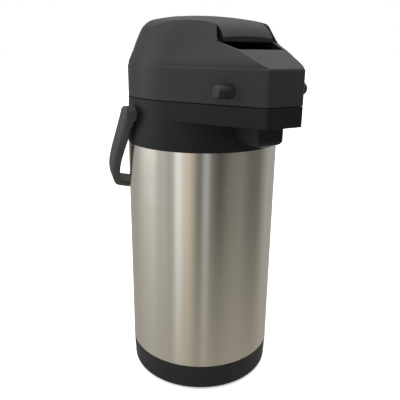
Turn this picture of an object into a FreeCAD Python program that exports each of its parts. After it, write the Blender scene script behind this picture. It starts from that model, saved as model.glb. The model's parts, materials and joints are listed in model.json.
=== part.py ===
import FreeCAD, Part
import math
import os

# Thermal coffee airpot: a vacuum flask that pours when its lid is pressed.
# Millimetres. +Z is up, the origin is on the flask's axis at the surface it stands on,
# the spout points along -Y and the lid hinge is at the back, towards +Y.

V = FreeCAD.Vector
UP = V(0, 0, 1)

# ---- driving dimensions ----
body_r = 77.0            # steel casing, outside radius
casing_low = 29.5        # lower edge of the visible steel
casing_high = 255.3      # upper edge of the visible steel
seam_z = 300.0           # parting line between shoulder and lid
band_top_z = 331.0       # top of the lid's upright band
crown_z = 377.0          # highest point of the lid
head_r = 75.5            # round back of the lid and shoulder, seen from above
head_angle = 27.5        # each side runs in towards the spout at this angle to the Y axis
nose_y = -127.0          # flat front of the head
nose_corner_r = 4.0
lid_wall = 2.5
steel_wall = 0.8
seam_gap = 0.8
fit_gap = 0.3            # between faces that move past each other
pin_gap = 0.05           # radial clearance round a pin

# flask
tuck_r = body_r - 1.7    # the casing steps in under the plastic by this much
neck_r = 36.0            # outside of the flask's neck
neck_top = 284.0
shell_weld_z = 258.0     # where the casing's dome is welded on
liner_weld_z = 246.0
liner_r = 70.5
liner_low = 32.0
liner_neck_r = 33.6
mouth_z = 286.3          # underside of the mouth ring

# base
ring_low = 0.6
foot_h = 4.0
base_plate_z = 12.0

# shoulder
band_low_z = 283.2       # lower edge of the boat-shaped band
tuck_high = 262.5        # the casing's stepped-in rim ends below this
deck_z = 281.0
deck_h = 2.5
spout_half = 13.5
spout_front_y = -110.0
spout_low_z = 265.0
pour_z = 292.3           # height of the pipe that runs forward to the spout
tube_y = -24.0           # dip tube, in front of the axis
nozzle_y = -100.0
ball_r = 3.2             # spill ball, resting on its seat in the elbow
seat_r = 2.6
seat_z = 284.6
pipe_r = 5.0
bore_r = 3.8

# lid hinge
hinge_y = 80.2
hinge_z = 301.0
barrel_r = 4.0
hinge_pin_r = 1.6
knuckle_half = 14.0
lug_outer = 22.0

# press plate
plate_half = 26.8
well_half = 28.0
plate_back_y = 51.5
plate_front_y = -73.6
lip_low_z = 351.5
plate_skin = 3.0
plate_pin_y = 48.8
plate_pin_z = 364.0
plate_pin_r = 1.5
well_floor_z = 328.0
pocket_half = 24.0       # narrows towards the rim
pocket_back_y = -78.0
rim_y = -93.5
rim_z = 345.0
brow_y = -65.0           # front edge of the cheeks beside the press plate
cheek_slope = 1.6        # how far the cheek's end runs forwards for each millimetre outwards

# bellows pump
pump_y = -6.0
bellows_r = 25.0
bellows_waist = 20.5
bellows_low = 306.5
bellows_high = 342.0
folds = 6
base_low = 301.2         # lid base plate
base_high = 304.5

# release knobs and latch
knob_y = -94.7
knob_z = 312.2
knob_r = 5.7
knob_tip = 48.2
hook_x = 19.0
hook_low = 289.0

# carrying bail: points are (half width, distance from the pivots) in the bail's own plane
pivot_y = 0.0
pivot_z = 286.0
pivot_r = 3.0
bail_lean = 42.0         # from straight down, towards the back
arm_inner = 77.9
arm_outer = 88.7
arm_depth = 15.2
bail_edge_r = 2.5
bar_inner = 122.4        # pivots to the inner face of the crossbar, in the middle
bar_outer = 129.8
bar_bow_inner = 290.0    # the crossbar drops by half width squared over this
bar_bow_outer = 318.0
outer_side = [(arm_outer, 0), (87.4, 20), (86.1, 41), (84.8, 60), (83.3, 74), (80.7, 87.6),
              (77.2, 99.0), (72.9, 109.0), (70.2, 113.0), (65.6, 116.0)]
inner_side = [(arm_inner, 0), (77.0, 22), (76.0, 45), (74.9, 64), (73.2, 78), (70.8, 90),
              (68.0, 100.8), (66.0, 105.2), (62.2, 108.7)]


def box(x0, x1, y0, y1, z0, z1):
    return Part.makeBox(x1 - x0, y1 - y0, z1 - z0, V(x0, y0, z0))


def rod(r, x, y, z0, z1):
    return Part.makeCylinder(r, z1 - z0, V(x, y, z0), UP)


def rod_x(r, x0, x1, y, z):
    return Part.makeCylinder(r, x1 - x0, V(x0, y, z), V(1, 0, 0))


def rod_y(r, y0, y1, x, z):
    return Part.makeCylinder(r, y1 - y0, V(x, y0, z), V(0, 1, 0))


def mirrored(shape):
    return shape.mirror(V(0, 0, 0), V(1, 0, 0))


def pair(shape):
    """The shape and its mirror image across the YZ plane, as two solids."""
    return Part.makeCompound([shape, mirrored(shape)])


def turned(points, x=0.0, y=0.0):
    """A solid turned about a vertical axis from (radius, height) points."""
    wire = Part.makePolygon([V(r, 0, z) for r, z in points] + [V(points[0][0], 0, points[0][1])])
    solid = Part.Face(wire).revolve(V(0, 0, 0), UP, 360)
    solid.translate(V(x, y, 0))
    return solid


def side_slab(wire_edges, half):
    """A solid with the outline drawn in the YZ plane, from -half to +half in X."""
    face = Part.Face(Part.Wire(wire_edges))
    face.translate(V(-half, 0, 0))
    return face.extrude(V(2 * half, 0, 0))


def boat(r, angle, front_y, corner_r, z):
    """Boat-shaped outline: a round back, straight sides tangent to it, a flat nose."""
    a = math.radians(angle)
    normal = V(math.cos(a), -math.sin(a), 0)
    along = V(-math.sin(a), -math.cos(a), 0)
    tangent = normal * r
    run = (tangent.y - front_y) / math.cos(a)
    corner = tangent + along * run
    cut = corner_r * math.tan(math.radians(90 - angle) / 2)
    side_end = corner - along * cut
    nose_start = corner + V(-cut, 0, 0)
    centre = side_end - normal * corner_r
    middle = centre + (corner - centre).normalize() * corner_r

    def at(p, sign):
        return V(sign * p.x, p.y, z)

    edges = [
        Part.LineSegment(at(tangent, 1), at(side_end, 1)).toShape(),
        Part.Arc(at(side_end, 1), at(middle, 1), at(nose_start, 1)).toShape(),
        Part.LineSegment(at(nose_start, 1), at(nose_start, -1)).toShape(),
        Part.Arc(at(nose_start, -1), at(middle, -1), at(side_end, -1)).toShape(),
        Part.LineSegment(at(side_end, -1), at(tangent, -1)).toShape(),
        Part.Arc(at(tangent, -1), V(0, r, z), at(tangent, 1)).toShape(),
    ]
    return Part.Wire(edges)


def head_outline(inset, z):
    return boat(head_r - inset, head_angle, nose_y + inset, max(nose_corner_r - inset, 0.8), z)


def head_prism(inset, z0, z1):
    return Part.Face(head_outline(inset, z0)).extrude(V(0, 0, z1 - z0))


# ---- the lid's outer form ----
# (height, back radius, side angle, front) of the tapering sides above the band
taper = [
    (331.0, 74.7, 27.5, -126.2),
    (338.0, 72.5, 28.1, -118.0),
    (343.6, 69.8, 29.2, -111.0),
    (349.3, 67.6, 31.0, -103.0),
    (355.0, 65.2, 32.6, -96.0),
    (360.5, 62.6, 33.3, -91.0),
    (366.0, 59.7, 33.6, -87.0),
    (372.0, 56.3, 33.6, -83.0),
    (378.0, 52.7, 33.6, -79.0),
]
crown_bend = 480.0       # the crown falls by distance squared over this
shoulder_start = 50.0    # beyond this radius the crown rounds over
shoulder_fall = 0.045
crown_line = [(60.0, 377.0), (12.0, 377.0), (-7.0, 376.3), (-34.5, 374.0), (-50.0, 371.7),
              (-58.0, 369.8), (-66.0, 367.0), (-80.0, 361.0)]
plate_line = [(60.0, 377.0), (12.0, 377.0), (-7.0, 376.3), (-34.5, 374.0), (-50.0, 371.6),
              (-60.0, 368.9), (-67.0, 364.6), (-71.5, 359.8), (-74.2, 355.4), (-77.0, 350.2)]


def smooth_height(line, y):
    """Height along the middle of the crown at y, by monotone cubic steps between its points."""
    pts = sorted(line)
    if y >= pts[-1][0]:
        return pts[-1][1]
    if y <= pts[0][0]:
        slope = (pts[1][1] - pts[0][1]) / (pts[1][0] - pts[0][0])
        return pts[0][1] + slope * (y - pts[0][0])
    chords = [(b[1] - a[1]) / (b[0] - a[0]) for a, b in zip(pts, pts[1:])]
    slopes = [chords[0]]
    for one, two in zip(chords, chords[1:]):
        slopes.append(0.0 if one * two <= 0 else 2 * one * two / (one + two))
    slopes.append(chords[-1])
    for i in range(len(pts) - 1):
        y0, z0 = pts[i]
        y1, z1 = pts[i + 1]
        if y0 <= y <= y1:
            h = y1 - y0
            t = (y - y0) / h
            return (z0 * (1 + 2 * t) * (1 - t) ** 2 + slopes[i] * h * t * (1 - t) ** 2
                    + z1 * t * t * (3 - 2 * t) - slopes[i + 1] * h * t * t * (1 - t))


def crown_height(line, x, y):
    """The crown: its middle line, falling away to the sides and rounding over near the rim."""
    radius = math.hypot(x, max(y, 0.0))
    over = max(0.0, radius - shoulder_start)
    return smooth_height(line, y) - radius ** 2 / crown_bend - shoulder_fall * over ** 2


def under_crown(line, drop=0.0, step=4.0):
    """Everything below the crown surface, as a solid."""
    xs = [-84.0 + step * i for i in range(int(168 / step) + 1)]
    ys = [-136.0 + step * i for i in range(int(228 / step) + 1)]
    grid = [[V(x, y, crown_height(line, x, y) - drop) for y in ys] for x in xs]
    surface = Part.BSplineSurface()
    surface.interpolate(grid)
    return surface.toShape().extrude(V(0, 0, -120))


def brow_cut(back=0.0, drop=0.0):
    """What is cut away in front of the press plate: down to the finger scoop and the hood."""
    top = 420.0
    scoop = [(brow_y, 360.0), (-65.9, 356.2), (-69.5, 352.9), (-76.0, 350.2), (-85.0, 347.4), (rim_y, rim_z)]
    points = [V(0, y + back, z - drop) for y, z in scoop]
    curve = Part.BSplineCurve()
    curve.interpolate(points)
    hood_slope = (rim_z - 331.0) / (rim_y + 126.0)
    far_y = nose_y - 20.0
    far = V(0, far_y + back, rim_z + hood_slope * (far_y - rim_y) - drop)
    edges = [
        Part.LineSegment(V(0, brow_y + back, top), points[0]).toShape(),
        curve.toShape(),
        Part.LineSegment(points[-1], far).toShape(),
        Part.LineSegment(far, V(0, far.y, top)).toShape(),
        Part.LineSegment(V(0, far.y, top), V(0, brow_y + back, top)).toShape(),
    ]
    return side_slab(edges, 100.0)


def cheeks():
    """Two posts that the brow cut leaves standing: each cheek runs on forwards as it goes outwards."""
    inside = well_half - 3.0
    outside = well_half + 12.0
    low = rim_z - 3.0
    plan = Part.makePolygon([
        V(inside, brow_y - cheek_slope * (inside - well_half), low),
        V(inside, brow_y + 9.0, low), V(outside, brow_y + 9.0, low),
        V(outside, brow_y - cheek_slope * (outside - well_half), low),
        V(inside, brow_y - cheek_slope * (inside - well_half), low)])
    post = Part.Face(plan).extrude(V(0, 0, 60))
    return post.fuse(mirrored(post))


def head_solid(inset):
    """The lid's solid outer form, moved inwards by inset."""
    band_low = seam_z + seam_gap - (5.0 if inset else 0.0)
    band = Part.makeLoft(
        [head_outline(inset, band_low), head_outline(inset, band_top_z - 1.6),
         boat(taper[0][1] - inset, taper[0][2], taper[0][3] + inset,
              max(nose_corner_r - inset, 0.8), band_top_z)], True, True)
    sides = [boat(r - inset, a, y + inset, max(nose_corner_r - inset, 0.8), z)
             for z, r, a, y in taper]
    dome = Part.makeLoft(sides, True, False)
    dome = dome.common(under_crown(crown_line, inset))
    brow = brow_cut(inset, inset)
    if not inset:
        brow = brow.cut(cheeks())
    dome = dome.cut(brow)
    return band.fuse(dome).removeSplitter()


# ---- flask ----
def outer_shell():
    """Steel casing: a straight wall that steps in under the plastic at both ends."""
    t = steel_wall
    outside = [(tuck_r, 20.0), (tuck_r, casing_low), (body_r, casing_low), (body_r, casing_high),
               (tuck_r, casing_high), (tuck_r, shell_weld_z)]
    inside = [(tuck_r - t, shell_weld_z), (tuck_r - t, casing_high - t), (body_r - t, casing_high - t),
              (body_r - t, casing_low + t), (tuck_r - t, casing_low + t), (tuck_r - t, 20.0)]
    return turned(outside + inside)


def shell_top():
    """Steel dome and neck, welded on top of the casing."""
    t = steel_wall
    outside = [(tuck_r, shell_weld_z), (tuck_r, 260.0), (66.0, 267.0), (50.0, 272.0),
               (neck_r + 1.0, 274.0), (neck_r, 276.0), (neck_r, neck_top)]
    inside = [(neck_r - t, neck_top), (neck_r - t, 275.0), (50.0, 271.0), (66.0, 266.0),
              (tuck_r - t, 259.2), (tuck_r - t, shell_weld_z)]
    return turned(outside + inside)


def inner_flask():
    """Steel wall of the cup that holds the coffee."""
    return turned([(liner_r - steel_wall, liner_low + 12), (liner_r, liner_low + 12),
                   (liner_r, liner_weld_z), (liner_r - steel_wall, liner_weld_z)])


def inner_bottom():
    """Dished steel bottom of the cup, welded to its wall."""
    t = steel_wall
    outside = [(0, liner_low), (58.0, liner_low), (67.0, liner_low + 4), (liner_r, liner_low + 12)]
    inside = [(liner_r - t, liner_low + 12), (66.4, liner_low + 4.7), (57.8, liner_low + t),
              (0, liner_low + t)]
    return turned(outside + inside)


def inner_neck():
    """Steel dome and neck of the inner flask, welded to the casing's neck at the lip."""
    t = steel_wall
    outside = [(liner_r, liner_weld_z), (67.0, 255.0), (55.0, 262.5), (liner_neck_r + 2, 267.0),
               (liner_neck_r, 270.0), (liner_neck_r, neck_top), (neck_r, neck_top),
               (neck_r, neck_top + t)]
    inside = [(liner_neck_r - t, neck_top + t), (liner_neck_r - t, 269.5),
              (liner_neck_r + 1.2, 266.2), (54.6, 261.7), (66.3, 254.4), (liner_r - t, liner_weld_z)]
    return turned(outside + inside)


def vacuum_bottom():
    """Dished steel plate that closes the casing below."""
    r = tuck_r - steel_wall
    t = steel_wall
    return turned([(0, 24.0), (62.0, 24.0), (68.0, 20.0), (r, 20.0), (r, 25.0), (r - t, 25.0),
                   (r - t, 20.0 + t), (68.3, 20.0 + t), (62.3, 24.0 + t), (0, 24.0 + t)])


def base_ring():
    """Plastic ring under the casing, drawn in slightly to a rounded lower edge."""
    edge_r = 5.0
    edge_centre = body_r - 1.0 - edge_r
    rounded = [(edge_centre + edge_r * math.cos(math.radians(a)),
                ring_low + edge_r - edge_r * math.sin(math.radians(a))) for a in range(90, -1, -10)]
    outside = rounded + [(body_r, casing_low - 0.2)]
    inside = [(tuck_r + 0.1, casing_low - 0.2), (tuck_r + 0.1, 19.8), (71.0, 19.8), (71.0, 17.0),
              (73.0, 15.0), (73.0, ring_low + 3.6), (69.6, ring_low + 3.6), (69.6, ring_low)]
    return turned(outside + inside)


def base_plate():
    """Plate screwed under the flask, holding the base ring."""
    plate = turned([(0, base_plate_z), (72.6, base_plate_z), (72.6, base_plate_z + 2.5),
                    (0, base_plate_z + 2.5)])
    post = turned([(63.4, foot_h), (66.6, foot_h), (66.6, base_plate_z), (63.4, base_plate_z)])
    plate = plate.fuse(post)
    for x, y in base_screw_places():
        plate = plate.fuse(rod(5.0, x, y, base_plate_z, 19.6)).cut(rod(1.6, x, y, 0, 19.7))
        plate = plate.cut(rod(3.4, x, y, base_plate_z - 1, base_plate_z + 1.4))
    return plate.removeSplitter()


def base_screw_places():
    return [(66.0 * math.cos(math.radians(a)) * 0.72, 66.0 * math.sin(math.radians(a)) * 0.72)
            for a in (45, 135, 225, 315)]


def base_screws():
    screws = []
    for x, y in base_screw_places():
        head = rod(3.2, x, y, base_plate_z - 0.6, base_plate_z + 1.4)
        cross = box(x - 1.8, x + 1.8, y - 0.4, y + 0.4, base_plate_z - 1, base_plate_z + 0.2)
        cross = cross.fuse(box(x - 0.4, x + 0.4, y - 1.8, y + 1.8, base_plate_z - 1, base_plate_z + 0.2))
        screws.append(head.fuse(rod(1.5, x, y, base_plate_z + 1.4, 19.6)).cut(cross))
    return Part.makeCompound(screws)


def base_foot():
    """Rubber ring that the airpot stands on."""
    return turned([(62.0, 0), (68.7, 0), (69.5, 0.8), (69.5, foot_h), (61.2, foot_h), (61.2, 0.8)])


# ---- shoulder and pouring parts ----
def shoulder():
    """Plastic collar: a round skirt, the boat-shaped band, the spout block and the hinge lugs."""
    skirt = turned([(0, casing_high), (body_r, casing_high), (head_r + 0.1, seam_z), (0, seam_z)])
    block = box(-spout_half, spout_half, spout_front_y, -60.0, spout_low_z, band_low_z + 1)
    block = block.makeFillet(5.0, [e for e in block.Edges if is_low_front(e)])
    solid = skirt.fuse(head_prism(0.0, band_low_z, seam_z)).fuse(block)
    bosses = rod_x(9.0, 60.0, arm_inner - 0.4, pivot_y, pivot_z)
    solid = solid.fuse(bosses).fuse(mirrored(bosses))
    solid = solid.cut(rod(73.4, 0, 0, deck_z + deck_h, seam_z + 1))
    solid = solid.cut(head_prism(lid_wall, band_low_z + 2.5, seam_z + 1))
    solid = solid.cut(rod(73.4, 0, 0, tuck_high, deck_z))
    solid = solid.cut(rod(tuck_r + 0.1, 0, 0, casing_high - 1, tuck_high))
    solid = solid.cut(rod(38.2, 0, 0, deck_z - 1, deck_z + deck_h + 1))
    solid = solid.cut(box(-11.0, 11.0, spout_front_y + 2.5, -78.5, spout_low_z + 2.5, band_low_z + 4))
    solid = solid.cut(rod(7.2, 0, nozzle_y, spout_low_z - 1, spout_low_z + 4))
    catch = box(hook_x + 6.6, 40.0, knob_y - 4.0, knob_y + 4.0, 294.0, 297.5)
    catch = catch.common(head_prism(1.0, 290.0, seam_z))
    boss = rod_x(6.5, 66.0, 74.0, pivot_y, pivot_z).common(rod(74.5, 0, 0, 280.0, seam_z))
    for extra in (catch, boss):
        solid = solid.fuse(extra).fuse(mirrored(extra))
    lug = box(knuckle_half + 0.4, lug_outer, 71.0, hinge_y, 291.0, hinge_z - 1.4)
    lug = lug.fuse(box(knuckle_half + 0.4, lug_outer, hinge_y - 2, hinge_y + barrel_r, 295.0, hinge_z))
    lug = lug.cut(rod(73.6, 0, 0, 280.0, 310.0))
    lug = lug.fuse(rod_x(barrel_r, knuckle_half + 0.4, lug_outer, hinge_y, hinge_z))
    solid = solid.fuse(lug).fuse(mirrored(lug))
    solid = solid.cut(rod_x(hinge_pin_r, -30, 30, hinge_y, hinge_z))
    solid = solid.cut(rod_x(pivot_r, 68.0, 90.0, pivot_y, pivot_z))
    solid = solid.cut(rod_x(pivot_r, -90.0, -68.0, pivot_y, pivot_z))
    return solid.removeSplitter()


def is_low_front(edge):
    """The spout block's two lower side edges and its lower front edge."""
    b = edge.BoundBox
    low = b.ZMax < spout_low_z + 0.01
    front = b.YMax < spout_front_y + 0.01 and b.XLength > 1
    side = b.YLength > 1 and b.XLength < 0.01
    return low and (front or side)


def mouth_ring():
    """Collar on the neck; the lid's gasket closes on its top."""
    ring = turned([(33.0, mouth_z), (33.0, 299.4), (38.0, 299.4), (38.0, 279.0), (36.1, 279.0),
                   (36.1, mouth_z)])
    return ring.cut(rod_y(pipe_r, -45.0, tube_y, 0, pour_z))


def neck_gasket():
    return turned([(liner_neck_r - steel_wall, neck_top + steel_wall), (neck_r, neck_top + steel_wall),
                   (neck_r, mouth_z), (liner_neck_r - steel_wall, mouth_z)])


def dip_tube():
    """Steel tube down to the bottom of the flask, cut at a slant below."""
    tube = rod(4.5, 0, tube_y, 37.0, 283.0).cut(rod(3.9, 0, tube_y, 30.0, 290.0))
    slant = box(-10, 10, -10, 10, -12, 0)
    slant.rotate(V(0, 0, 0), V(1, 0, 0), 25)
    slant.translate(V(0, tube_y, 39.0))
    return tube.cut(slant)


def tube_elbow():
    """Turns the pour forwards; its chamber holds the ball that stops a spill."""
    body = rod(6.5, 0, tube_y, 274.0, 298.4).fuse(rod_y(pipe_r, -50.0, tube_y, 0, pour_z))
    body = body.cut(rod(4.5, 0, tube_y, 270.0, 283.0)).cut(rod(seat_r, 0, tube_y, 282.0, 286.0))
    body = body.cut(rod(ball_r + 1.0, 0, tube_y, seat_z, 296.0))
    return body.cut(rod_y(bore_r, -51.0, tube_y, 0, pour_z)).removeSplitter()


def pipe_seal():
    """Soft ring between the elbow and the spout pipe."""
    return rod_y(pipe_r + 0.9, -52.5, -50.0, 0, pour_z).cut(rod_y(bore_r, -60.0, -40.0, 0, pour_z))


def spout_pipe():
    """Runs forward under the lid, then down through the spout block."""
    outer = rod_y(pipe_r, nozzle_y, -52.5, 0, pour_z).fuse(rod(pipe_r, 0, nozzle_y, 276.0, pour_z))
    outer = outer.fuse(Part.makeSphere(pipe_r, V(0, nozzle_y, pour_z)))
    inner = rod_y(bore_r, nozzle_y, -50.0, 0, pour_z).fuse(rod(bore_r, 0, nozzle_y, 270.0, pour_z))
    inner = inner.fuse(Part.makeSphere(bore_r, V(0, nozzle_y, pour_z)))
    return outer.cut(inner).removeSplitter()


def spout_nozzle():
    """Flared tip that the coffee leaves by."""
    return turned([(bore_r, 276.0), (6.2, 276.0), (7.1, 271.0), (7.1, 264.2), (6.1, 264.2), (5.2, 271.0)],
                  0, nozzle_y)


def spill_ball():
    return Part.makeSphere(ball_r, V(0, tube_y, seat_z + math.sqrt(ball_r ** 2 - seat_r ** 2) + 0.1))


def hinge_pin():
    return rod_x(hinge_pin_r, -lug_outer, lug_outer, hinge_y, hinge_z)


def bail_pins():
    pin = rod_x(pivot_r, 68.4, arm_inner + 7.0, pivot_y, pivot_z)
    return pair(pin)


# ---- lid ----
def lid_screw_places():
    return [(48.0, 30.0), (-48.0, 30.0), (40.0, -50.0), (-40.0, -50.0)]


def lid_cover():
    """Outer lid: a shell with a well for the press plate and a finger pocket in front of it."""
    outer = head_solid(0.0)
    solid = outer.cut(head_solid(lid_wall))
    tub = box(-well_half - 1.5, well_half + 1.5, -96.0, plate_back_y + 2.5, well_floor_z - 2, 380.0)
    solid = solid.fuse(tub.common(outer))
    for x, y in lid_screw_places():
        post = rod(4.0, x, y, base_high + 0.1, 360.0).common(outer)
        solid = solid.fuse(post)
    knuckle = box(-knuckle_half, knuckle_half, 73.2, hinge_y, hinge_z + 0.3, hinge_z + 6.0)
    knuckle = knuckle.fuse(rod_x(barrel_r, -knuckle_half, knuckle_half, hinge_y, hinge_z))
    knuckle = knuckle.cut(rod(73.2, 0, 0, 290.0, 320.0))
    solid = solid.fuse(knuckle)
    well = box(-well_half, well_half, pocket_back_y, plate_back_y + 1.0, well_floor_z, 400.0)
    solid = solid.cut(well).cut(finger_pocket())
    solid = solid.cut(rod(bellows_r + 1.2, 0, pump_y, well_floor_z - 5, well_floor_z + 1))
    lug = box(20.5, well_half + 0.5, plate_pin_y - 4, plate_back_y + 1.0, well_floor_z, plate_pin_z + 3.5)
    solid = solid.fuse(lug).fuse(mirrored(lug))
    solid = solid.cut(rod_x(plate_pin_r, -29.5, 29.5, plate_pin_y, plate_pin_z))
    solid = solid.cut(rod_x(hinge_pin_r + pin_gap, -30, 30, hinge_y, hinge_z))
    solid = solid.cut(rod_x(knob_r + fit_gap, -60, 60, knob_y, knob_z))
    for x, y in lid_screw_places():
        solid = solid.cut(rod(1.5, x, y, base_high, base_high + 14.0))
    return solid.removeSplitter()


def finger_pocket():
    """The space in front of the plate's lip: a leaning front wall, sides that run in to the rim."""
    back = pocket_back_y + 1.0
    profile = Part.makePolygon([
        V(0, back, well_floor_z), V(0, rim_y + 4.0, well_floor_z), V(0, rim_y + 1.6, rim_z - 2.0),
        V(0, rim_y + 0.4, rim_z + 3.0), V(0, back, rim_z + 30.0), V(0, back, well_floor_z)]).Edges
    plan = Part.makePolygon([
        V(-well_half, back, 320.0), V(well_half, back, 320.0), V(pocket_half, rim_y, 320.0),
        V(-pocket_half, rim_y, 320.0), V(-well_half, back, 320.0)])
    return side_slab(profile, well_half).common(Part.Face(plan).extrude(V(0, 0, 90)))


def lid_base():
    """Inner plate of the lid: carries the pump and closes the mouth."""
    plate = head_prism(lid_wall + 0.4, base_low, base_high)
    seat = turned([(bellows_r + 0.4, base_high), (bellows_r + 2.4, base_high),
                   (bellows_r + 2.4, base_high + 4), (bellows_r + 0.4, base_high + 4)], 0, pump_y)
    plate = plate.fuse(seat).cut(rod(4.0, 0, pump_y, 290, 310))
    for x in (-26.0, 14.0):
        plate = plate.cut(box(x, x + 12.0, knob_y - 5.0, knob_y + 5.0, 290.0, 310.0))
    for x, y in lid_screw_places():
        plate = plate.cut(rod(1.55, x, y, 290, 310)).cut(rod(3.4, x, y, 290, base_low + 1.8))
    return plate.removeSplitter()


def lid_screws():
    screws = []
    for x, y in lid_screw_places():
        head = rod(3.2, x, y, base_low, base_low + 1.8)
        slot = box(x - 2.0, x + 2.0, y - 0.4, y + 0.4, base_low - 1, base_low + 0.8)
        screws.append(head.fuse(rod(1.45, x, y, base_low + 1.8, base_high + 13.0)).cut(slot))
    return Part.makeCompound(screws)


def lid_gasket():
    """Silicone ring under the lid base that seals the mouth."""
    return turned([(33.4, base_low), (37.6, base_low), (37.6, 300.4), (36.6, 299.7), (34.4, 299.7),
                   (33.4, 300.4)])


def air_valve():
    """Rubber flap over the air port: lets air into the flask, not back."""
    flap = turned([(0, base_high + 0.1), (8.0, base_high + 0.1), (8.0, base_high + 1.3), (2.0, base_high + 1.9),
                   (0, base_high + 1.9)], 0, pump_y)
    return flap


def bellows():
    """Folded rubber sleeve."""
    step = (bellows_high - bellows_low) / (2 * folds)
    outside = []
    for i in range(2 * folds + 1):
        r = bellows_r if i % 2 else bellows_waist
        outside.append((r, bellows_low + step * i))
    inside = [(r - 1.4, z) for r, z in reversed(outside)]
    return turned(outside + inside, 0, pump_y)


def bellows_spring():
    """Coil that lifts the press plate back up."""
    return coil(13.0, 1.0, bellows_low + 1.2, bellows_high - 1.2, 6.0, 0, pump_y)


def coil(radius, wire_r, z0, z1, pitch, x, y):
    helix = Part.makeHelix(pitch, z1 - z0, radius)
    corners = [V(radius + wire_r * math.cos(i * math.pi / 5), 0, wire_r * math.sin(i * math.pi / 5))
               for i in range(10)]
    section = Part.makePolygon(corners + corners[:1])
    spring = Part.Wire(helix.Edges).makePipeShell([section], True, True)
    spring.translate(V(x, y, z0))
    return spring


def bellows_foot():
    """Ring that clamps the bellows to the lid base."""
    return turned([(bellows_waist - 1.4, base_high), (bellows_r + 0.3, base_high),
                   (bellows_r + 0.3, bellows_low), (bellows_waist - 1.4, bellows_low)], 0, pump_y)


def plate_pin():
    return rod_x(plate_pin_r, -29.3, 29.3, plate_pin_y, plate_pin_z)


def bellows_cap():
    """Stiff top of the bellows, pushed down by the press plate."""
    return turned([(0, bellows_high), (bellows_waist + 1.5, bellows_high), (bellows_waist + 1.5, bellows_high + 1.6),
                   (9.0, bellows_high + 3.0), (0, bellows_high + 3.0)], 0, pump_y)


def press_plate():
    """Press plate: a curved skin with a front lip, side skirts, a hinge barrel and a pusher."""
    whole = under_crown(plate_line, 0.25, 3.0).common(
        box(-plate_half, plate_half, plate_front_y, plate_back_y, lip_low_z, 400.0))
    hollow = under_crown(plate_line, 0.25 + plate_skin, 3.0).common(
        box(-plate_half + 1.6, plate_half - 1.6, plate_front_y + 2.6, plate_back_y + 5, lip_low_z - 1, 400.0))
    shell = whole.cut(hollow)
    below = Part.makePolygon([
        V(0, -62.0, 340.0), V(0, -62.0, lip_low_z + 3), V(0, -50.0, 360.0), V(0, 60.0, 363.0), V(0, 60.0, 340.0),
        V(0, -62.0, 340.0)]).Edges
    shell = shell.cut(side_slab(below, 60.0))
    under = under_crown(plate_line, 1.0, 3.0)
    pusher = rod(7.0, 0, pump_y, bellows_high + 3.4, 385.0).common(under)
    web = box(-1.2, 1.2, -66.0, plate_pin_y, 359.5, 385.0).common(under)
    arm = box(-18.0, 18.0, plate_pin_y - 3, plate_pin_y + 1.0, plate_pin_z, 385.0).common(under)
    barrel = rod_x(3.2, -20.0, 20.0, plate_pin_y, plate_pin_z)
    for extra in (pusher, web, arm, barrel):
        shell = shell.fuse(extra)
    shell = shell.cut(rod_x(plate_pin_r + pin_gap, -30, 30, plate_pin_y, plate_pin_z))
    lugs = box(20.2, 30.0, plate_pin_y - 6.0, plate_back_y + 5, 340.0, plate_pin_z + 5.0)
    return shell.cut(lugs).cut(mirrored(lugs)).removeSplitter()


# ---- latch ----
def release_knob():
    """Round knob on the right-hand side, with its shank inside the lid."""
    knob = rod_x(knob_r, 27.0, knob_tip, knob_y, knob_z)
    tip = [e for e in knob.Edges if e.BoundBox.XMin > knob_tip - 0.1]
    return knob.makeFillet(1.0, tip)


def latch_hook():
    """Hook that the knob pushes inwards, clear of its catch."""
    carrier = box(hook_x, 27.0, knob_y - 4.5, knob_y + 4.5, knob_z - 6.0, knob_z + 6.0)
    leg = box(hook_x, hook_x + 3.0, knob_y - 3.5, knob_y + 3.5, hook_low, knob_z)
    barb = box(hook_x + 2.0, hook_x + 6.2, knob_y - 3.5, knob_y + 3.5, hook_low, hook_low + 3.5)
    return carrier.fuse(leg).fuse(barb).removeSplitter()


def latch_springs():
    """Two coils that push the hooks back out, resting on a post in the middle of the lid."""
    spring = coil(3.0, 0.6, 0.0, 16.6, 3.0, 0, 0)
    spring.rotate(V(0, 0, 0), V(0, 1, 0), 90)
    spring.translate(V(1.6, knob_y, knob_z))
    return pair(spring)


def spring_post():
    """Post in the lid between the two latch springs."""
    return box(-1.0, 1.0, knob_y - 5.0, knob_y + 5.0, base_high, knob_z + 5.0)


# ---- bail ----
def bail_curve(side, middle, bow, across):
    """One long face of the bail: down an arm, round the corner and half way along the crossbar, twice."""
    bar = [(x, middle - x * x / bow) for x in (54.0, 38.0, 19.0)]
    half = side + bar
    points = half + [(0.0, middle)] + [(-x, a) for x, a in reversed(half)]
    curve = Part.BSplineCurve()
    curve.interpolate([V(x, across, a) for x, a in points])
    return curve.toShape()


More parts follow.
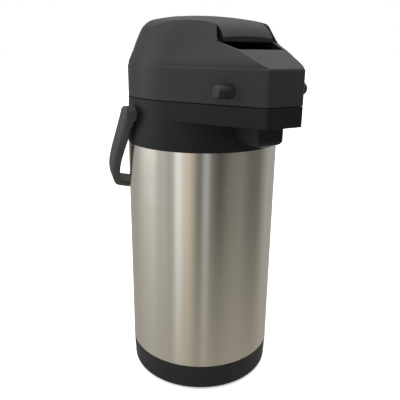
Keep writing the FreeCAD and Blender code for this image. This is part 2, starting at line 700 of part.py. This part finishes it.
def bail_handle():
    """Carrying handle: a flat strap cut to its outline, its long edges rounded, laid at its lean."""
    low = -arm_depth / 2
    outer = bail_curve(outer_side, bar_outer, bar_bow_outer, low)
    inner = bail_curve(inner_side, bar_inner, bar_bow_inner, low)
    ends = [Part.LineSegment(V(s * arm_outer, low, 0), V(s * arm_inner, low, 0)).toShape() for s in (1, -1)]
    bar = Part.Face(Part.Wire(Part.__sortEdges__([outer, inner] + ends))).extrude(V(0, arm_depth, 0))
    bar = bar.makeFillet(bail_edge_r, [e for e in bar.Edges if e.BoundBox.XLength > 2 * arm_inner - 1])
    eye = rod_x(arm_depth / 2, arm_inner, arm_outer, 0, 0)
    eye = eye.makeFillet(2.0, [e for e in eye.Edges if e.BoundBox.XMin > arm_outer - 0.1])
    bar = bar.fuse(eye).fuse(mirrored(eye))
    bore = rod_x(pivot_r + pin_gap, arm_inner - 1, arm_inner + 7.4, 0, 0)
    bar = bar.cut(bore).cut(mirrored(bore)).removeSplitter()
    bar.rotate(V(0, 0, 0), V(1, 0, 0), 180 + bail_lean)
    bar.translate(V(0, pivot_y, pivot_z))
    return bar


def save(name, shape):
    shape.exportStep(f"parts/{name}.step")
    print(name, "valid" if shape.isValid() else "NOT VALID", len(shape.Solids), round(shape.Volume))


def build():
    os.makedirs("parts", exist_ok=True)
    single = [outer_shell, shell_top, inner_flask, inner_bottom, inner_neck, vacuum_bottom,
              base_ring, base_plate, base_screws, base_foot, shoulder, mouth_ring, neck_gasket,
              dip_tube, tube_elbow, pipe_seal, spout_pipe, spout_nozzle, spill_ball, hinge_pin,
              bail_pins, lid_cover, lid_base, lid_screws, lid_gasket, air_valve, bellows,
              bellows_spring, bellows_foot, plate_pin, bellows_cap, press_plate, latch_springs,
              spring_post, bail_handle]
    for make in single:
        save(make.__name__, make())
    for make in (release_knob, latch_hook):
        right = make()
        save(make.__name__ + "_right", right)
        save(make.__name__ + "_left", mirrored(right))


build()
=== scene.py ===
import json
import math

import bpy
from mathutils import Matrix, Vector


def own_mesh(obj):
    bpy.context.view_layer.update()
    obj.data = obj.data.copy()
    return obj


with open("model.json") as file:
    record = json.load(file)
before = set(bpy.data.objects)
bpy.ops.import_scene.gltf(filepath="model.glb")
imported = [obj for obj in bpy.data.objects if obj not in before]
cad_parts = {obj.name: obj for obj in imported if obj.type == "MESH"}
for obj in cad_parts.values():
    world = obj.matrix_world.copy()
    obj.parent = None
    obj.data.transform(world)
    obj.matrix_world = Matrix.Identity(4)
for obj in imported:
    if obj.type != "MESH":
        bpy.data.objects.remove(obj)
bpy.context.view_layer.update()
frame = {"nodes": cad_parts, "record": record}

nodes = frame["nodes"]
print("frame loaded:", len(nodes), "CAD pieces")


cameraPlan = {
    "place": (-0.2684, -0.4248, 0.3441),   # metres, in the airpot's frame
    "look": (0.5072, 0.8088, -0.2976),     # direction of view
    "roll": math.radians(0.70),
    "lens": 43.19,                         # on a sensor as wide as the next value
    "sensor": 36.0,
    "near": 0.01,
}


def addCamera(plan):
    data = bpy.data.cameras.new("camera")
    data.lens = plan["lens"]
    data.sensor_width = plan["sensor"]
    data.clip_start = plan["near"]
    camera = bpy.data.objects.new("camera", data)
    bpy.context.scene.collection.objects.link(camera)
    camera.location = plan["place"]
    camera.rotation_euler = Vector(plan["look"]).to_track_quat("-Z", "Y").to_euler()
    camera.rotation_euler.rotate_axis("Z", plan["roll"])
    bpy.context.scene.camera = camera


addCamera(cameraPlan)
print("camera set")


class Wire:
    # a node's output socket that can be used in sums

    def __init__(self, tree, socket):
        self.tree = tree
        self.socket = socket

    def maths(self, operation, first, second):
        return addNode(self.tree, "ShaderNodeMath", {"operation": operation}, {0: first, 1: second})

    def __add__(self, other):
        return self.maths("ADD", self, other)

    def __radd__(self, other):
        return self.maths("ADD", other, self)

    def __sub__(self, other):
        return self.maths("SUBTRACT", self, other)

    def __rsub__(self, other):
        return self.maths("SUBTRACT", other, self)

    def __mul__(self, other):
        return self.maths("MULTIPLY", self, other)

    def __rmul__(self, other):
        return self.maths("MULTIPLY", other, self)

    def __truediv__(self, other):
        return self.maths("DIVIDE", self, other)

    def __rtruediv__(self, other):
        return self.maths("DIVIDE", other, self)

    def bearingFrom(self, ahead):
        # the angle, in radians, whose sine goes with this wire and its cosine with ahead
        return self.maths("ARCTAN2", self, ahead)

    def span(self, low, high, toLow=0.0, toHigh=1.0):
        # low..high is carried to toLow..toHigh, held at both ends
        ends = {"From Min": low, "From Max": high, "To Min": toLow, "To Max": toHigh}
        return addNode(self.tree, "ShaderNodeMapRange", {"clamp": True}, {"Value": self, **ends})


def addNode(tree, kind, settings=None, inputs=None, output=0):
    # a node: its settings first, then the values or links of its sockets, which are named or numbered
    node = tree.nodes.new(kind)
    for name, value in (settings or {}).items():
        if name == "stops":
            ramp = node.color_ramp
            for extra in value[2:]:
                ramp.elements.new(extra[0])
            for element, (place, colour) in zip(ramp.elements, value):
                element.position, element.color = place, colour
        else:
            setattr(node, name, value)
    for name, value in (inputs or {}).items():
        socket = node.inputs[name]
        if isinstance(value, Wire):
            tree.links.new(value.socket, socket)
        else:
            socket.default_value = value
    return Wire(tree, node.outputs[output]) if len(node.outputs) else None


# a Mix node repeats its sockets' names for each kind of data; these are the numbers of the colour ones
mixSockets = {"factor": 0, "first": 6, "second": 7, "result": 2}


def mixColour(tree, factor, first, second):
    given = {mixSockets["factor"]: factor, mixSockets["first"]: first, mixSockets["second"]: second}
    return addNode(tree, "ShaderNodeMix", {"data_type": "RGBA"}, given, mixSockets["result"])


# the studio is a ring of pale and dark upright screens round the pot, brighter overhead;
# each screen is (bearing in degrees from the camera's side, to its right; brightness; warmth)
studio = {
    "screens": [
        (-180, 0.36, 0.04), (-125, 0.40, 0.04), (-98, 0.56, 0.02), (-80, 0.64, 0.01), (-70, 0.50, 0.07),
        (-59, 0.54, 0.05), (-49, 0.40, 0.05), (-43, 0.50, 0.00), (-39, 1.10, -0.02), (-32, 1.02, -0.01),
        (-28, 0.72, 0.14), (-18, 0.62, 0.15), (-12, 0.40, 0.12), (-6, 0.13, 0.10), (0, 0.15, 0.08),
        (4, 0.52, 0.00), (9, 0.50, 0.00), (14, 0.16, 0.08), (27, 0.05, 0.08), (34, 0.10, 0.08),
        (44, 0.18, 0.08), (62, 0.22, 0.09), (80, 0.13, 0.08), (98, 0.14, 0.07), (122, 0.42, 0.03),
    ],
    "overhead": (2.1, 2.12, 2.1, 1.0),     # colour of the light from above
    "overheadFrom": 0.40, "overheadTo": 0.85,   # upward part of the direction where it fades in
    "below": (0.40, 0.37, 0.32, 1.0),      # what the steel sees of the table
    "belowFrom": 0.30, "belowTo": 0.62,    # downward part of the direction where it fades in
    "roomStrength": 0.95,
    "backdrop": (1.0, 1.0, 1.0, 1.0),      # what the camera itself sees behind the pot
    "keyPower": 6.0, "keySize": 0.9, "keyPlace": (-1.25, 0.70, 0.60),   # watts, metres
    "aim": (0.0, 0.0, 0.22),               # the key panel faces this point of the pot
    "floorColour": (0.93, 0.93, 0.93, 1.0), "floorGlow": 0.46, "floorHalf": 30.0,
    "floorRough": 0.9, "floorGloss": 0.1,
}


def screenStops(screens):
    # ramp stops over the full circle; the last stop repeats the first so the ring closes
    stops = [((bearing + 180.0) / 360.0, (level * (1 + warm), level, level * (1 - warm), 1.0))
             for bearing, level, warm in screens]
    return stops + [(1.0, stops[0][1])]


def addWorld(plan):
    world = bpy.data.worlds.new("studioWorld")
    world.use_nodes = True
    tree = world.node_tree
    tree.nodes.clear()
    toCamera = Vector((cameraPlan["place"][0], cameraPlan["place"][1], 0.0)).normalized()
    toRight = Vector((-toCamera.y, toCamera.x, 0.0))
    ray = addNode(tree, "ShaderNodeTexCoord", output="Generated")   # in a world, the direction looked in

    def along(direction):
        return addNode(tree, "ShaderNodeVectorMath", {"operation": "DOT_PRODUCT"},
                       {0: ray, 1: direction}, "Value")

    forward, right, up = along(toCamera), along(toRight), along((0.0, 0.0, 1.0))
    turn = right.bearingFrom(forward) / math.tau + 0.5
    room = addNode(tree, "ShaderNodeValToRGB", {"stops": screenStops(plan["screens"])}, {"Fac": turn})
    low = (0.0 - up).span(plan["belowFrom"], plan["belowTo"])
    high = up.span(plan["overheadFrom"], plan["overheadTo"])
    room = mixColour(tree, low, room, plan["below"])
    room = mixColour(tree, high, room, plan["overhead"])
    lit = addNode(tree, "ShaderNodeBackground", {}, {"Color": room, "Strength": plan["roomStrength"]})
    plain = addNode(tree, "ShaderNodeBackground", {}, {"Color": plan["backdrop"], "Strength": 1.0})
    seen = addNode(tree, "ShaderNodeLightPath", output="Is Camera Ray")
    both = addNode(tree, "ShaderNodeMixShader", {}, {0: seen, 1: lit, 2: plain})
    addNode(tree, "ShaderNodeOutputWorld", {}, {"Surface": both})
    bpy.context.scene.world = world
    bpy.context.scene.view_settings.view_transform = "Standard"
    bpy.context.scene.view_settings.look = "None"


def addKey(plan):
    data = bpy.data.lights.new("keyPanel", "AREA")
    data.size, data.energy = plan["keySize"], plan["keyPower"]
    panel = bpy.data.objects.new("keyPanel", data)
    bpy.context.scene.collection.objects.link(panel)
    panel.location = plan["keyPlace"]
    panel.rotation_euler = (Vector(plan["aim"]) - panel.location).to_track_quat("-Z", "Y").to_euler()


addWorld(studio)
addKey(studio)
print("studio lit")


def newMaterial(name):
    material = bpy.data.materials.new(name)
    material.use_nodes = True
    material.node_tree.nodes.clear()
    return material, material.node_tree


def closeMaterial(tree, sockets):
    shader = addNode(tree, "ShaderNodeBsdfPrincipled", {}, sockets)
    addNode(tree, "ShaderNodeOutputMaterial", {}, {"Surface": shader})


def even(scale):
    return (scale, scale, scale)


def noiseOf(tree, recipe):
    # recipe: repeats per metre along x, y and z in the object's own coordinates, detail, roughness
    scale, detail, rough = recipe
    here = addNode(tree, "ShaderNodeTexCoord", output="Object")
    place = addNode(tree, "ShaderNodeMapping", {}, {"Vector": here, "Scale": scale})
    return addNode(tree, "ShaderNodeTexNoise", {},
                   {"Vector": place, "Scale": 1.0, "Detail": detail, "Roughness": rough})


def grey(level, warm=0.0):
    return (level * (1.0 + warm), level, level * (1.0 - warm), 1.0)


plasticPlan = {
    "lid_plastic": {"dark": 0.0120, "light": 0.0165, "warm": -0.08, "rough": 0.48, "gloss": 0.30},
    "shoulder_plastic": {"dark": 0.0045, "light": 0.007, "warm": -0.28, "rough": 0.48, "gloss": 0.22},
    "bail_plastic": {"dark": 0.027, "light": 0.036, "warm": -0.01, "rough": 0.50, "gloss": 0.40},
    "knob_plastic": {"dark": 0.012, "light": 0.016, "warm": -0.04, "rough": 0.42, "gloss": 0.36},
    "base_plastic": {"dark": 0.008, "light": 0.012, "warm": -0.14, "rough": 0.46, "gloss": 0.30},
    "inner_plastic": {"dark": 0.050, "light": 0.062, "warm": -0.03, "rough": 0.40, "gloss": 0.5},
    "pipe_plastic": {"dark": 0.11, "light": 0.13, "warm": -0.02, "rough": 0.36, "gloss": 0.5},
}
plasticCommon = {
    "grain": (even(2600.0), 2.0, 0.6),     # fine pebbling
    "coarse": (even(900.0), 3.0, 0.55),
    "cloud": (even(22.0), 3.0, 0.5),       # slow change between the dark and the light colour
    "rub": ((60.0, 60.0, 18.0), 4.0, 0.6),   # where hands have polished it
    "grainShare": 0.6,                     # of the bump; the coarse grain has the rest
    "bump": 0.28, "bumpDepth": 0.0004,
    "edge": 0.0009, "edgeSamples": 4,      # softened corners, metres
    "cloudFrom": 0.3, "cloudTo": 0.7,
    "dust": 0.05, "dustFrom": 0.62, "dustTo": 0.78, "dustColour": grey(0.25, 0.02),
    "roughSwing": 0.16, "grainRough": 0.08,
}


def mouldedPlastic(name, plan):
    # fine-grained plastic: a pebbled grain, slow cloudiness, rubbed sheen and faint dust
    material, tree = newMaterial(name)
    grain, coarse = noiseOf(tree, plan["grain"]), noiseOf(tree, plan["coarse"])
    cloud, rub = noiseOf(tree, plan["cloud"]), noiseOf(tree, plan["rub"])
    shade = cloud.span(plan["cloudFrom"], plan["cloudTo"])
    colour = mixColour(tree, shade, grey(plan["dark"], plan["warm"]), grey(plan["light"], plan["warm"]))
    speck = grain.span(plan["dustFrom"], plan["dustTo"], 0.0, plan["dust"])
    colour = mixColour(tree, speck, colour, plan["dustColour"])
    rough = plan["rough"] + (rub - 0.5) * plan["roughSwing"] + (grain - 0.5) * plan["grainRough"]
    soft = addNode(tree, "ShaderNodeBevel", {"samples": plan["edgeSamples"]}, {"Radius": plan["edge"]})
    height = grain * plan["grainShare"] + coarse * (1.0 - plan["grainShare"])
    bump = addNode(tree, "ShaderNodeBump", {}, {"Strength": plan["bump"], "Distance": plan["bumpDepth"],
                                                "Height": height, "Normal": soft})
    closeMaterial(tree, {"Base Color": colour, "Roughness": rough, "Normal": bump,
                         "Specular IOR Level": plan["gloss"]})
    return material


steelPlan = {
    "casing_steel": {"cool": (0.75, 0.75, 0.69, 1.0), "warm": (0.79, 0.76, 0.67, 1.0),
                     "bright": (0.9, 0.89, 0.83, 1.0),
                     "streak": 0.3, "rough": 0.22, "bump": 0.03, "aniso": 0.75},
    "liner_steel": {"cool": (0.60, 0.60, 0.59, 1.0), "warm": (0.66, 0.65, 0.62, 1.0),
                    "bright": (0.8, 0.8, 0.78, 1.0),
                    "streak": 0.4, "rough": 0.28, "bump": 0.10, "aniso": 0.4},
}
steelCommon = {
    "hair": ((2.0, 2.0, 5200.0), 3.0, 0.7),      # brush lines, level round the body
    "line": ((4.0, 4.0, 1900.0), 2.0, 0.6),      # wider bands of them
    "tint": ((7.0, 7.0, 5.0), 2.0, 0.5),         # slow change between cool and warm
    "smudge": ((38.0, 38.0, 30.0), 4.0, 0.6),
    "tintFrom": 0.3, "tintTo": 0.7,
    "streakSwing": 0.3,                          # how far a hairline goes from the middle to be brightest
    "smudgeFrom": 0.52, "smudgeTo": 0.75,
    "hairRough": 0.16, "lineRough": 0.10, "smudgeRough": 0.05,
    "hairShare": 0.7, "bumpDepth": 0.0002,       # the hairlines' share of the bump, and metres
    "anisoTurn": 0.25,
}


def brushedSteel(name, plan):
    # satin steel brushed round the body: long hairlines, slow tint, small smudges
    material, tree = newMaterial(name)
    hair, line = noiseOf(tree, plan["hair"]), noiseOf(tree, plan["line"])
    tint = noiseOf(tree, plan["tint"]).span(plan["tintFrom"], plan["tintTo"])
    smudge = noiseOf(tree, plan["smudge"]).span(plan["smudgeFrom"], plan["smudgeTo"])
    streak = (hair - 0.5).span(-plan["streakSwing"], plan["streakSwing"], 0.0, plan["streak"])
    colour = mixColour(tree, tint, plan["cool"], plan["warm"])
    colour = mixColour(tree, streak, colour, plan["bright"])
    rough = plan["rough"] + (hair - 0.5) * plan["hairRough"] + (line - 0.5) * plan["lineRough"]
    height = hair * plan["hairShare"] + line * (1.0 - plan["hairShare"])
    bump = addNode(tree, "ShaderNodeBump", {},
                   {"Strength": plan["bump"], "Distance": plan["bumpDepth"], "Height": height})
    closeMaterial(tree, {"Base Color": colour, "Metallic": 1.0, "Normal": bump,
                         "Roughness": rough + smudge * plan["smudgeRough"],
                         "Anisotropic": plan["aniso"], "Anisotropic Rotation": plan["anisoTurn"]})
    return material


metalPlan = {
    "pin_steel": {"clean": (0.62, 0.62, 0.62, 1.0), "dull": (0.45, 0.45, 0.44, 1.0), "rough": 0.2},
    "screw_steel": {"clean": (0.58, 0.58, 0.57, 1.0), "dull": (0.40, 0.39, 0.37, 1.0), "rough": 0.3},
    "spring_wire": {"clean": (0.60, 0.60, 0.59, 1.0), "dull": (0.44, 0.43, 0.42, 1.0), "rough": 0.24},
}
metalCommon = {
    "mark": (even(2600.0), 2.0, 0.5),      # fine tool marks
    "patch": (even(240.0), 3.0, 0.6),
    "dullFrom": 0.35, "roughFrom": 0.4, "patchTo": 0.7,
    "patchRough": 0.14, "markRough": 0.06,
    "bump": 0.15, "bumpDepth": 0.0001,
}


def turnedMetal(name, plan):
    # small turned or drawn steel: fine marks and a few dull patches
    material, tree = newMaterial(name)
    mark, patch = noiseOf(tree, plan["mark"]), noiseOf(tree, plan["patch"])
    colour = mixColour(tree, patch.span(plan["dullFrom"], plan["patchTo"]), plan["clean"], plan["dull"])
    worn = patch.span(plan["roughFrom"], plan["patchTo"], 0.0, plan["patchRough"])
    rough = plan["rough"] + worn + (mark - 0.5) * plan["markRough"]
    bump = addNode(tree, "ShaderNodeBump", {},
                   {"Strength": plan["bump"], "Distance": plan["bumpDepth"], "Height": mark})
    closeMaterial(tree, {"Base Color": colour, "Metallic": 1.0, "Roughness": rough, "Normal": bump})
    return material


rubberPlan = {
    "foot_rubber": {"base": grey(0.014), "bloom": grey(0.034), "rough": 0.8},
    "bellows_rubber": {"base": grey(0.022), "bloom": grey(0.045), "rough": 0.7},
    "seal_silicone": {"base": grey(0.44, 0.02), "bloom": grey(0.52, 0.03), "rough": 0.5},
}
rubberCommon = {
    "pores": (even(1400.0), 3.0, 0.6),
    "dusting": (even(70.0), 4.0, 0.55),
    "dustingFrom": 0.4, "dustingTo": 0.75, "roughSwing": 0.2,
    "bump": 0.25, "bumpDepth": 0.0003, "gloss": 0.35,
}


def softRubber(name, plan):
    # rubber and silicone: no shine, a dusty bloom and shallow pores
    material, tree = newMaterial(name)
    pores, dusting = noiseOf(tree, plan["pores"]), noiseOf(tree, plan["dusting"])
    bloom = dusting.span(plan["dustingFrom"], plan["dustingTo"])
    colour = mixColour(tree, bloom, plan["base"], plan["bloom"])
    rough = plan["rough"] + (dusting - 0.5) * plan["roughSwing"]
    bump = addNode(tree, "ShaderNodeBump", {},
                   {"Strength": plan["bump"], "Distance": plan["bumpDepth"], "Height": pores})
    closeMaterial(tree, {"Base Color": colour, "Roughness": rough, "Normal": bump,
                         "Specular IOR Level": plan["gloss"]})
    return material


families = (
    (mouldedPlastic, plasticCommon, plasticPlan),
    (brushedSteel, steelCommon, steelPlan),
    (turnedMetal, metalCommon, metalPlan),
    (softRubber, rubberCommon, rubberPlan),
)


def makeMaterials():
    return {slot: make(slot, {**common, **plan})
            for make, common, plans in families for slot, plan in plans.items()}


materials = makeMaterials()
slotOf = {part["node"]: part["material_slot"] for part in frame["record"]["subparts"]}


def dressNode(name):
    mesh = nodes[name].data
    mesh.materials.clear()
    mesh.materials.append(materials[slotOf[name]])


for name in nodes:
    dressNode(name)
print("materials made:", len(materials))


bellowsPlan = {
    "pieces": ("bellows", "bellows_spring"),
    "joint": "bellows_stroke",
    "foot": (0.0, -0.006, 0.3065),         # they are clamped here and shorten towards it
    "keep": 0.7305,                        # share of their height left at the full stroke
}


def shortenBellows(plan):
    for name in plan["pieces"]:
        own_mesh(nodes[name])


shortenBellows(bellowsPlan)


def addFloor(plan):
    half = plan["floorHalf"]
    corners = [(-half, -half, 0), (half, -half, 0), (half, half, 0), (-half, half, 0)]
    mesh = bpy.data.meshes.new("floor")
    mesh.from_pydata(corners, [], [(0, 1, 2, 3)])
    floor = bpy.data.objects.new("floor", mesh)
    bpy.context.scene.collection.objects.link(floor)
    floor.visible_glossy = False           # the steel reflects the screens instead
    material, tree = newMaterial("paleFloor")
    closeMaterial(tree, {"Base Color": plan["floorColour"], "Roughness": plan["floorRough"],
                         "Specular IOR Level": plan["floorGloss"],
                         "Emission Color": plan["floorColour"], "Emission Strength": plan["floorGlow"]})
    mesh.materials.append(material)


addFloor(studio)
print("floor laid")
